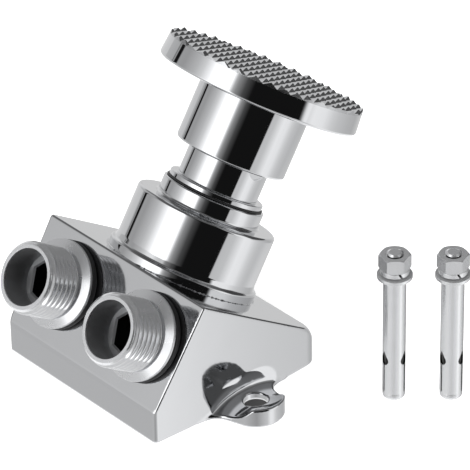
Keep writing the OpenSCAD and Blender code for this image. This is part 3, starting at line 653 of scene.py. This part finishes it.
def ring_seal(name, node, at, inner, outer, low, high, edge):
    """A rubber washer, a rectangle carried round the axis, whose outer edge is rounded."""
    corners = [(inner, low), (outer, low, edge), (outer, high, edge), (inner, high)]
    piece(name, [lathe(corners)], at, rubber, "valve", [node])


# A fine copy of a CAD piece: edges sharper than this are kept, and faces flatter than this are one
EDGE_ANGLE = math.radians(30)
FLAT_ANGLE = math.radians(1)
BEVEL_STEPS = 3


def refined(name, body, material, bevel):
    """A CAD node's mesh copied, merged and shaded smooth, with a small round on its edges."""
    mesh = nodes[name].data.copy()
    work = bmesh.new()
    work.from_mesh(mesh)
    bmesh.ops.remove_doubles(work, verts=work.verts, dist=CAD_WELD * MM)
    bmesh.ops.dissolve_limit(work, angle_limit=FLAT_ANGLE, verts=work.verts, edges=work.edges)
    work.to_mesh(mesh)
    work.free()
    mesh.polygons.foreach_set("use_smooth", np.ones(len(mesh.polygons), bool))
    if mesh.attributes.get("custom_normal"):
        mesh.attributes.remove(mesh.attributes["custom_normal"])
    mesh.set_sharp_from_angle(angle=EDGE_ANGLE)
    thing = linked(name + "_fine", mesh)
    edge = thing.modifiers.new("edges", "BEVEL")
    edge.width = bevel * MM
    edge.segments = BEVEL_STEPS
    edge.limit_method = "ANGLE"
    edge.angle_limit = EDGE_ANGLE
    edge.harden_normals = True
    edge.use_clamp_overlap = True
    even = thing.modifiers.new("normals", "WEIGHTED_NORMAL")
    even.keep_sharp = True
    finish(thing, material, body, [name])
    return thing


# The casting's wedge in millimetres, from the base plane midway between the ear holes, and its edges' rounds
CAST_TILT = math.radians(33)
CAST_RIDGE = (-14.31, 37.81)
CAST_HALF = 33.3
CAST_SWELL_R = 450
CAST_SWELL_MID = 4
CAST_FRONT = 32.5
CAST_REAR = 28.8
CAST_AXIS = 23.6
FRONT_CORNER = 1.2
REAR_CORNER = 5
RIDGE_ROUND = 0.8
BASE_ROUND = 0.4
TOP_ROUND = 0.55
REAR_ROUND = 3
REAR_ROUND_FROM = 20
REAR_ROUND_OVER = 7
PAD_ROUND = 0.5
PAD_FILLET = 0.3
PAD_SINK = 1

# What is bored in it: ports, chambers by radius and depth under the pad, and passages by ends and radius
PORT_SIDE = 17.8
PORT_DEEP = 15.7
CHAMBERS = [(SPIGOT_R + FIT, 2.05), (13, 6), (11.05, 8.5), (9.5, 20.35), (5.62, 22.75)]
PASSAGES = [((-PORT_SIDE, 6, -PORT_DEEP), (-4.75, CAST_AXIS, -PORT_DEEP), 4.5),
            ((PORT_SIDE, 5, -PORT_DEEP), (10, 17.6, -3), 2.8)]

# The ears in millimetres, and the hollow in the wall beside each
EAR_HOLE_X = 37.5
EAR_HOLE_R = 3.5
EAR_HOLE_EDGE = 0.5
EAR_MIDDLE = 39.1
EAR_LEAD = 1.4
EAR_R = 8.1
EAR_TAPER = math.radians(18)
EAR_TOP = 5.8
EAR_TOP_ROUND = 0.7
EAR_FOOT_ROUND = 0.3
EAR_FILLET = 4
EAR_SINK = 0.2
EAR_BACK = 4
EAR_JOIN = 1.2
EAR_FLOOR = 2.4
DISH_X = 36
DISH_R = 10.5
CROWN_R = 52
BOWL_R = 13.5
BOWL_EDGE = 0.5
HOLLOW_MIDDLE = -0.5
HOLLOW_RISE = 4.8
HOLLOW_REACH = 10.2
HOLLOW_DEPTH = 1.5
HOLLOW_EDGE = 1.6

# How its surface is found: the box looked through, the cell's size, and how a point is drawn to the surface
CAST_FROM = (-48.5, -33.6, -1.1)
CAST_TO = (48.5, 29.9, 39.5)
CELL = 0.52
PROBE = 0.01
DRAWS = 6
LEAST_SLOPE = 0.2
CELL_SHARE = 0.6


def meet(a, b, radius):
    """What two forms have in common, with a round of that radius where their surfaces cross.
    A form is a distance from its surface in millimetres, below nought inside."""
    nearer = np.maximum(a, b)
    rounded = np.hypot(np.maximum(a + radius, 0), np.maximum(b + radius, 0)) - radius
    return np.where(nearer < -radius, nearer, rounded)


def join(a, b, radius):
    """Two forms together, with a fillet of that radius where their surfaces cross."""
    return -meet(-a, -b, radius)


def bar(x, y, z, start, end, radius):
    """A round bar with flat ends from one point to another."""
    way = np.subtract(end, start)
    length = np.linalg.norm(way)
    away = np.stack([x - start[0], y - start[1], z - start[2]], -1)
    along = away @ (way / length)
    off = np.sqrt(np.maximum((away**2).sum(-1) - along**2, 0))
    return np.maximum(off - radius, np.abs(along - length / 2) - length / 2)


def ear_form(x, y, z, side):
    """One ear: a tongue with tapered sides and a round end, filleted to the wall. Its top is cut by a ring
    that lies round a crown from front to rear, and by a bowl over the hole."""
    near, width = x - EAR_MIDDLE, np.abs(y + EAR_LEAD)
    cosine, sine = math.cos(EAR_TAPER), math.sin(EAR_TAPER)
    at_the_end = near * cosine > width * sine
    plan = np.where(at_the_end, np.hypot(near, width), near * sine + width * cosine) - EAR_R
    plan = join(plan, side + EAR_SINK, EAR_FILLET)
    plan = np.maximum.reduce([plan, CAST_HALF - EAR_BACK - x, width - 2 * EAR_R])
    ear = meet(meet(plan, z - EAR_TOP, EAR_TOP_ROUND), -z, EAR_FOOT_ROUND)
    ring = np.hypot(np.hypot(y, z - EAR_FLOOR + CROWN_R) - CROWN_R - DISH_R, x - DISH_X) - DISH_R
    bowl = np.sqrt((x - EAR_HOLE_X)**2 + y**2 + (z - EAR_FLOOR - BOWL_R)**2) - BOWL_R
    return meet(meet(ear, -ring, EAR_TOP_ROUND), -bowl, BOWL_EDGE)


def hollow_form(x, y, z):
    """The hollow in the side wall: a spindle from front to rear. Its radius squared falls away from its
    middle by rise squared x share cubed, where share is how far along its reach a point lies."""
    away = (HOLLOW_RISE**2 - HOLLOW_DEPTH**2) / (2 * HOLLOW_DEPTH)
    share = np.abs(y - HOLLOW_MIDDLE) / HOLLOW_REACH
    thick = np.sqrt(np.maximum(away**2 + HOLLOW_RISE**2 * (1 - share**3), 0))
    return np.hypot(x - CAST_HALF - away, z - EAR_FLOOR) - thick


def casting_form(points):
    """The whole casting as one form. The wedge is what two slopes have in common with an upright outline
    whose side walls swell. The pad and the ears are joined to it, and the hollows, bores, passages and bolt
    holes are taken away."""
    x, y, z = (points[..., k] for k in range(3))
    out = np.abs(x)
    cosine, sine = math.cos(CAST_TILT), math.sin(CAST_TILT)
    down = (y - CAST_RIDGE[0]) * cosine - (z - CAST_RIDGE[1]) * sine
    over = (y - CAST_RIDGE[0]) * sine + (z - CAST_RIDGE[1]) * cosine
    side = np.hypot(out - CAST_HALF + CAST_SWELL_R, y - CAST_SWELL_MID) - CAST_SWELL_R
    plan = meet(meet(side, y - CAST_REAR, REAR_CORNER), -y - CAST_FRONT, FRONT_CORNER)
    rear = np.clip((y - REAR_ROUND_FROM) / REAR_ROUND_OVER, 0, 1)
    wedge = meet(meet(-down, over, RIDGE_ROUND), plan, TOP_ROUND + (REAR_ROUND - TOP_ROUND) * rear**2)
    wedge = meet(meet(wedge, -z, BASE_ROUND), -hollow_form(out, y, z), HOLLOW_EDGE)
    whole = join(wedge, ear_form(out, y, z, side), EAR_JOIN)
    off = np.hypot(x, down - CAST_AXIS)
    pad = np.maximum(meet(off - PAD_R, over - PAD_TOP, PAD_ROUND), -over - PAD_SINK)
    bolt = np.hypot(out - EAR_HOLE_X, y) - EAR_HOLE_R
    whole = meet(join(whole, pad, PAD_FILLET), -bolt, EAR_HOLE_EDGE)
    bores = [np.maximum(off - radius, -over - deep) for radius, deep in CHAMBERS]
    bores += [np.maximum(np.hypot(x - hand * PORT_SIDE, over + PORT_DEEP) - TAIL_R - FIT, down + TAIL_LOW)
              for hand in (-1, 1)]
    bores += [bar(x, down, over, *passage) for passage in PASSAGES]
    return np.maximum(whole, -np.minimum.reduce(bores))


def slope_of(form, points):
    """How fast a form grows along x, y and z."""
    return np.stack([(form(points + step) - form(points - step)) / (2 * PROBE)
                     for step in np.eye(3) * PROBE], -1)


def skin(form, low, high, cell):
    """The surface where a form is nought. Each cell of a grid that the surface passes through gets one
    point, drawn onto the surface along the form's slope, and the four cells round a crossed grid edge make
    a quad."""
    axes = [np.arange(a, b + cell, cell) for a, b in zip(low, high)]
    inside = form(np.stack(np.meshgrid(*axes, indexing="ij"), -1)) < 0
    corners = [inside[i : i - 1 or None, j : j - 1 or None, k : k - 1 or None]
               for i in (0, 1) for j in (0, 1) for k in (0, 1)]
    mixed = np.logical_or.reduce(corners) & ~np.logical_and.reduce(corners)
    number = np.full(mixed.shape, -1)
    number[mixed] = np.arange(mixed.sum())
    middle = np.argwhere(mixed) * cell + np.array(low) + cell / 2
    points = middle.copy()
    for _ in range(DRAWS):
        slope = slope_of(form, points)
        steepness = np.maximum((slope**2).sum(-1), LEAST_SLOPE**2)
        points -= slope * (form(points) / steepness)[:, None]
        points = middle + np.clip(points - middle, -CELL_SHARE * cell, CELL_SHARE * cell)
    quads = []
    for axis in range(3):
        order = axis, (axis + 1) % 3, (axis + 2) % 3
        within = np.moveaxis(inside, order, (0, 1, 2))
        cells = np.moveaxis(number, order, (0, 1, 2))
        near, far = within[:-1, 1:-1, 1:-1], within[1:, 1:-1, 1:-1]
        ring = np.stack([cells[:, :-1, :-1], cells[:, 1:, :-1], cells[:, 1:, 1:], cells[:, :-1, 1:]], -1)
        quads += [ring[near & ~far], ring[~near & far][:, ::-1]]
    quads = np.vstack(quads)
    return points, quads, unit(slope_of(form, points))[quads]


def valve_casting():
    """The chromed wedge with its pad and dished ears and its worn round edges, cut off at the base plane."""
    points, quads, normals = skin(casting_form, CAST_FROM, CAST_TO, CELL)
    points[:, 2] = np.maximum(points[:, 2], 0)
    piece("valve_casting", [(points, quads, normals)], place((0, 0, 0), (0, 0, 1)), cast_chrome,
          "valve", ["valve_body"])


# The anchors: how much taller they stand, where, how many degrees each part turns, and sizes in millimetres
ANCHOR_RISE = 1.05
ANCHOR_SHIFT = (0.3, -1.3, 0)
ANCHOR_TURNS = {"anchor_bolt": 0, "anchor_sleeve": -31, "plain_washer": 0, "spring_washer": 0,
                "anchor_nut": 30}
NUT_BEVEL = 0.3
FINE_BEVEL = 0.1
SHAFT_LOW = 3.5
SHAFT_HIGH = 37.5
SHAFT_R = 3.15
BOLT_END = 45
BOLT_SLIM = 0.85
BOLT_DROP = 0.8
HOLES_LOW = 8
HOLES_HIGH = 20
HOLES_DROP = 1
WASHER_GAP = 0.6
FACING_DOWN = -0.5


def rows_of(items, key):
    """One vector of every vertex or face, a row for each."""
    values = np.empty(len(items) * 3, np.float32)
    items.foreach_get(key, values)
    return values.reshape(-1, 3).astype(float)


def on_anchor(part, points):
    """Where points of an anchor go, in millimetres from its foot: the bolt's end is slimmer and lower, the
    sleeve's holes are lower, all of it is taller, the spring washer and nut stand a gap higher, and each
    part turns about the anchor's axis."""
    x, y, z = points.T
    end = (part == "anchor_bolt") & (z > BOLT_END)
    holes = (part == "anchor_sleeve") & (z > HOLES_LOW) & (z < HOLES_HIGH)
    slim = np.where(end, BOLT_SLIM, 1)
    gap = WASHER_GAP if part in ("spring_washer", "anchor_nut") else 0
    turn = math.radians(ANCHOR_TURNS[part])
    cosine, sine = math.cos(turn) * slim, math.sin(turn) * slim
    height = (z - BOLT_DROP * end - HOLES_DROP * holes) * ANCHOR_RISE + gap
    return np.stack([x * cosine - y * sine, x * sine + y * cosine, height], 1)


def dress_anchors():
    """The two sleeve anchors, zinc plated, which the chrome doesn't mirror. What lies inside the sleeve, and the
    spring washer's underside, are painted dark as shade."""
    for which in "ab":
        low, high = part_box("anchor_sleeve_" + which)
        foot = np.array([low[0] + high[0], low[1] + high[1], 0]) / 2 / MM
        new_foot = foot + ANCHOR_SHIFT
        for part in ANCHOR_TURNS:
            bevel = NUT_BEVEL if part == "anchor_nut" else FINE_BEVEL
            thing = refined(f"{part}_{which}", "anchor_" + which, [zinc, shaded_zinc], bevel)
            thing.visible_glossy = False
            mesh = thing.data
            points = new_foot + on_anchor(part, rows_of(mesh.vertices, "co") / MM - foot)
            mesh.vertices.foreach_set("co", (points * MM).ravel())
            mesh.update()
            x, y, z = (rows_of(mesh.polygons, "center") / MM - new_foot).T
            # Painted shade: faces inside the sleeve and under the spring washer take the near-black zinc
            hidden = (z > SHAFT_LOW) & (z < SHAFT_HIGH) & (np.hypot(x, y) < SHAFT_R)
            below = (part == "spring_washer") & (rows_of(mesh.polygons, "normal")[:, 2] < FACING_DOWN)
            mesh.polygons.foreach_set("material_index", (hidden | below).astype(np.int32))


# The return spring in millimetres: where it stands, how long it is, and how far the pedal goes down
SPRING_LOW = 20.7
SPRING_LONG = 17.9
SPRING_R = 8.6
SPRING_WIRE = 1.5
SPRING_TURNS = 5.5
SPRING_DEAD = 0.9
SPRING_GAP = 0.45
SPRING_STEPS = 330
WIRE_STEPS = 16


def return_spring():
    """Wire carried along a coil whose turns lie close at both ends: a circle of the wire's radius, carried
    round the axis at the coil's radius while its height rises slowly, fast, then slowly again."""
    turn = np.linspace(0, SPRING_TURNS, SPRING_STEPS + 1)
    span = SPRING_LONG - SPRING_WIRE
    close = SPRING_DEAD * (SPRING_WIRE + SPRING_GAP)
    height = SPRING_LOW + SPRING_WIRE / 2 + np.interp(
        turn, [0, SPRING_DEAD, SPRING_TURNS - SPRING_DEAD, SPRING_TURNS], [0, close, span - close, span])
    thick = np.full_like(turn, SPRING_WIRE / 2)
    turn, height, thick = (np.concatenate([row[:1], row, row[-1:]])[:, None]
                           for row in (turn, height, thick))
    thick[[0, -1]] = 0
    around = -np.linspace(0, 2 * np.pi, WIRE_STEPS + 1)
    angle = 2 * np.pi * turn
    reach = SPRING_R - SPRING_WIRE / 2 + thick * np.cos(around)
    grid = np.dstack([reach * np.cos(angle), reach * np.sin(angle), height + thick * np.sin(around)])
    normals = np.dstack([np.cos(around) * np.cos(angle), np.cos(around) * np.sin(angle),
                         np.broadcast_to(np.sin(around), grid.shape[:2])])
    at = on_pedal_axis()
    thing = piece("coil_spring", [quads_of(grid, normals)], at, steel, "valve",
                  ["return_spring"])
    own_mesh(thing)


def dress_inside():
    """The hidden pieces keep their CAD meshes and get the finish of their metal or rubber."""
    inside = {"gland_bush": brass, "spring_cup": brass, "disc_holder": brass, "seat_ring": brass,
              "stem": steel, "lock_nut": steel, "stem_clip": steel, "disc_nut": steel,
              "gland_seal": rubber, "stem_seals": rubber, "seat_seal": rubber, "valve_disc": rubber}
    for name, material in inside.items():
        nodes[name].data.materials.clear()
        nodes[name].data.materials.append(material)


# The studio: bearing in degrees from the valve's front towards its right, and brightness
SKY_ABOVE_TABLE = [(-180, 0.1), (-152, 0.1), (-144, 0.9), (-110, 0.9), (-100, 0.7), (-78.2, 0.6),
                   (-77.8, 0.15), (-76.6, 0.15), (-76.2, 0.6), (-75, 0.6), (-74.6, 0.01), (-69.4, 0.01),
                   (-69, 0.52), (-60, 0.5), (-42, 0.75), (-32, 1.0), (-22, 1.5), (-12, 2.2), (11, 2.2),
                   (17, 0.7), (21, 0.4), (31, 0.1), (41, 0.01), (45, 0.01), (45.3, 0.16), (45.6, 0.01),
                   (95, 0.01), (99, 1.3), (135, 1.3), (139, 0.1), (180, 0.1)]
SKY_HIGH = [(-180, 0.12), (-122, 0.22), (-106, 0.3), (-96, 0.6), (-60, 0.5), (-42, 0.75), (-32, 1.0),
            (-22, 1.5), (-12, 2.2), (11, 2.2), (17, 0.7), (21, 0.4), (31, 0.1), (41, 0.01), (95, 0.01),
            (99, 0.5), (135, 0.3), (180, 0.12)]
TABLE_TOP = [(-180, 0.62), (-150, 0.74), (-128, 0.74), (-119, 0.84), (-86, 0.84), (-49, 0.69), (0, 0.75),
             (50, 0.5), (85, 0.82), (93, 0.86), (108, 1.33), (120, 1.27), (131, 1.0), (141, 0.86),
             (166, 0.7), (180, 0.65)]
BRIGHTEST = 2.4
CEILING = 0.15
NEAR_TABLE = 1.3

# The heights where one brightness fades into the next: -1 is straight down and 1 is straight up
NEAR_TABLE_FULL = -0.74
NEAR_TABLE_FROM = -0.62
TABLE_EDGE_LOW = -0.1
TABLE_EDGE_HIGH = -0.08
HIGH_FROM = 0.2
HIGH_FULL = 0.38
CEILING_FROM = 0.62
CEILING_FULL = 0.75

# The floor: half its width in metres, its glow, its two tones, and how far painted shade darkens it round a bolt
# hole
FLOOR_HALF = 3
FLOOR_GLOW = 0.78
FLOOR_SHADE_TONE = 0.1
FLOOR_PALE = 0.88
HOLE_SHADE_R = 3.7
GLOW_R = 4

# The lamp overhead: its width and place in metres, and its power in watts
LAMP_WIDTH = 1.2
LAMP_PLACE = (0.1, -0.2, 1.4)
LAMP_POWER = 14


def grey(value):
    """A brightness as a colour, as a share of the brightest."""
    return (*[value / BRIGHTEST] * 3, 1)


def ramp(tree, source, stops):
    """A brightness that changes with bearing, from stops of (bearing, brightness)."""
    node = add(tree, "ShaderNodeValToRGB", {"Fac": source})
    band = node.color_ramp
    band.elements[0].position = 0
    band.elements[1].position = 1
    while len(band.elements) < len(stops):
        band.elements.new(0.5)
    for element, (bearing, value) in zip(band.elements, stops):
        element.position = (bearing + 180) / 360
        element.color = grey(value)
    return node.outputs["Color"]


def fade(tree, height, low, high, below, above):
    """One brightness below the first height, another above the second, and a smooth change between."""
    share = add(tree, "ShaderNodeMapRange", {"Value": height, "From Min": low, "From Max": high},
                interpolation_type="SMOOTHSTEP").outputs["Result"]
    return add(tree, "ShaderNodeMix", {"Factor": share, 6: below, 7: above}, data_type="RGBA").outputs[2]


def studio():
    """A bright table below, a dark room with a large soft box above it, and white for the camera."""
    world = bpy.data.worlds.new("studio")
    bpy.context.scene.world = world
    world.use_nodes = True
    tree = world.node_tree
    tree.nodes.clear()
    towards = add(tree, "ShaderNodeTexCoord").outputs["Generated"]
    x, y, z = add(tree, "ShaderNodeSeparateXYZ", {"Vector": towards}).outputs
    front = add(tree, "ShaderNodeMath", {0: y, 1: -1.0}, operation="MULTIPLY").outputs[0]
    bearing = add(tree, "ShaderNodeMath", {0: x, 1: front}, operation="ARCTAN2").outputs[0]
    share = add(tree, "ShaderNodeMapRange", {"Value": bearing, "From Min": -math.pi, "From Max": math.pi})
    sky, high, table = (ramp(tree, share.outputs["Result"], stops)
                        for stops in (SKY_ABOVE_TABLE, SKY_HIGH, TABLE_TOP))
    above = fade(tree, z, HIGH_FROM, HIGH_FULL, sky, high)
    above = fade(tree, z, CEILING_FROM, CEILING_FULL, above, grey(CEILING))
    below = fade(tree, z, NEAR_TABLE_FULL, NEAR_TABLE_FROM, grey(NEAR_TABLE), table)
    all_round = fade(tree, z, TABLE_EDGE_LOW, TABLE_EDGE_HIGH, below, above)
    lit = add(tree, "ShaderNodeBackground", {"Color": all_round, "Strength": BRIGHTEST}).outputs[0]
    paper = add(tree, "ShaderNodeBackground", {"Color": (1, 1, 1, 1)}).outputs[0]
    seen = add(tree, "ShaderNodeLightPath").outputs["Is Camera Ray"]
    mixed = add(tree, "ShaderNodeMixShader", {0: seen, 1: lit, 2: paper}).outputs[0]
    add(tree, "ShaderNodeOutputWorld", {"Surface": mixed})


def floor():
    """A plain pale floor that glows, so that it stays near white, but not below the ears' bolt holes, where
    painted shade makes it dark out to one radius, and it glows in full from the next."""
    mesh = bpy.data.meshes.new("floor")
    corners = [(x * FLOOR_HALF, y * FLOOR_HALF, 0) for x, y in ((-1, -1), (1, -1), (1, 1), (-1, 1))]
    mesh.from_pydata(corners, [], [(0, 1, 2, 3)])
    material, tree, shader = new_material("white_paper", Roughness=0.9, Emission_Color=(1, 1, 1, 1))
    where = add(tree, "ShaderNodeTexCoord").outputs["Object"]
    left, right = (add(tree, "ShaderNodeVectorMath", {0: where, 1: (side * EAR_HOLE_X * MM, 0, 0)},
                       operation="DISTANCE").outputs["Value"] for side in (-1, 1))
    away = add(tree, "ShaderNodeMath", {0: left, 1: right}, operation="MINIMUM").outputs[0]
    # Painted shade under each bolt hole: no glow and a dark tone out to one radius, the full glow and pale tone
    # from the next
    for low, high, name in ((0, FLOOR_GLOW, "Emission Strength"), (FLOOR_SHADE_TONE, FLOOR_PALE, "Base Color")):
        level = add(tree, "ShaderNodeMapRange", {"Value": away, "From Min": HOLE_SHADE_R * MM,
                                                 "From Max": GLOW_R * MM, "To Min": low, "To Max": high})
        tree.links.new(level.outputs["Result"], shader.inputs[name])
    mesh.materials.append(material)
    thing = linked("floor", mesh)
    thing.visible_glossy = False


def soft_light():
    """A large soft light overhead that keeps the floor and the rubber lit, and isn't seen in the chrome."""
    data = bpy.data.lights.new("overhead", "AREA")
    data.shape = "DISK"
    data.size = LAMP_WIDTH
    data.energy = LAMP_POWER
    thing = linked("overhead", data)
    thing.location = LAMP_PLACE
    thing.visible_glossy = False


def camera():
    """The camera at the photograph's viewing angle."""
    azimuth, elevation, roll = np.radians([CAMERA_AZIMUTH, CAMERA_ELEVATION, CAMERA_ROLL])
    back = Vector((math.sin(azimuth) * math.cos(elevation), -math.cos(azimuth) * math.cos(elevation),
                   math.sin(elevation)))
    level = Vector((math.cos(azimuth), math.sin(azimuth), 0))
    rise = back.cross(level)
    right = level * math.cos(roll) + rise * math.sin(roll)
    up = rise * math.cos(roll) - level * math.sin(roll)
    aim = Vector(AIM_FOOT) + right * AIM_RIGHT + up * AIM_UP
    data = bpy.data.cameras.new("camera")
    data.sensor_width = FILM_WIDTH
    data.lens = FOCAL_PIXELS * FILM_WIDTH / PHOTO_SIDE
    data.clip_start, data.clip_end = CAMERA_CLIP
    thing = linked("camera", data)
    turn = Matrix((right, up, back)).transposed().to_4x4()
    thing.matrix_world = Matrix.Translation((aim + back * CAMERA_DISTANCE) * MM) @ turn
    bpy.context.scene.camera = thing


camera()
studio()
floor()
soft_light()
valve_casting()
bonnet()
guide_sleeve()
pedal_casting()
tread()
for port in ("inlet", "outlet"):
    nipple(port)
    ring_seal(port + "_rubber", port + "_seal", on_nipple_axis(port), TAIL_R + FIT, RUBBER_R, RUBBER_HAIR,
              FLANGE_LOW - RUBBER_HAIR, RUBBER_EDGE)
ring_seal("bonnet_gasket", "bonnet_seal", on_pedal_axis(), SPIGOT_R + FIT, GASKET_R, PAD_TOP, GASKET_TOP,
          GASKET_EDGE)
ring_seal("sleeve_gasket", "sleeve_seal", on_pedal_axis(), SLEEVE_TAIL_R + FIT, SLEEVE_SEAL_R, BOSS_TOP,
          COLLAR_LOW, SLEEVE_SEAL_EDGE)
dress_anchors()
return_spring()
dress_inside()
bpy.context.scene.view_settings.view_transform = "Standard"
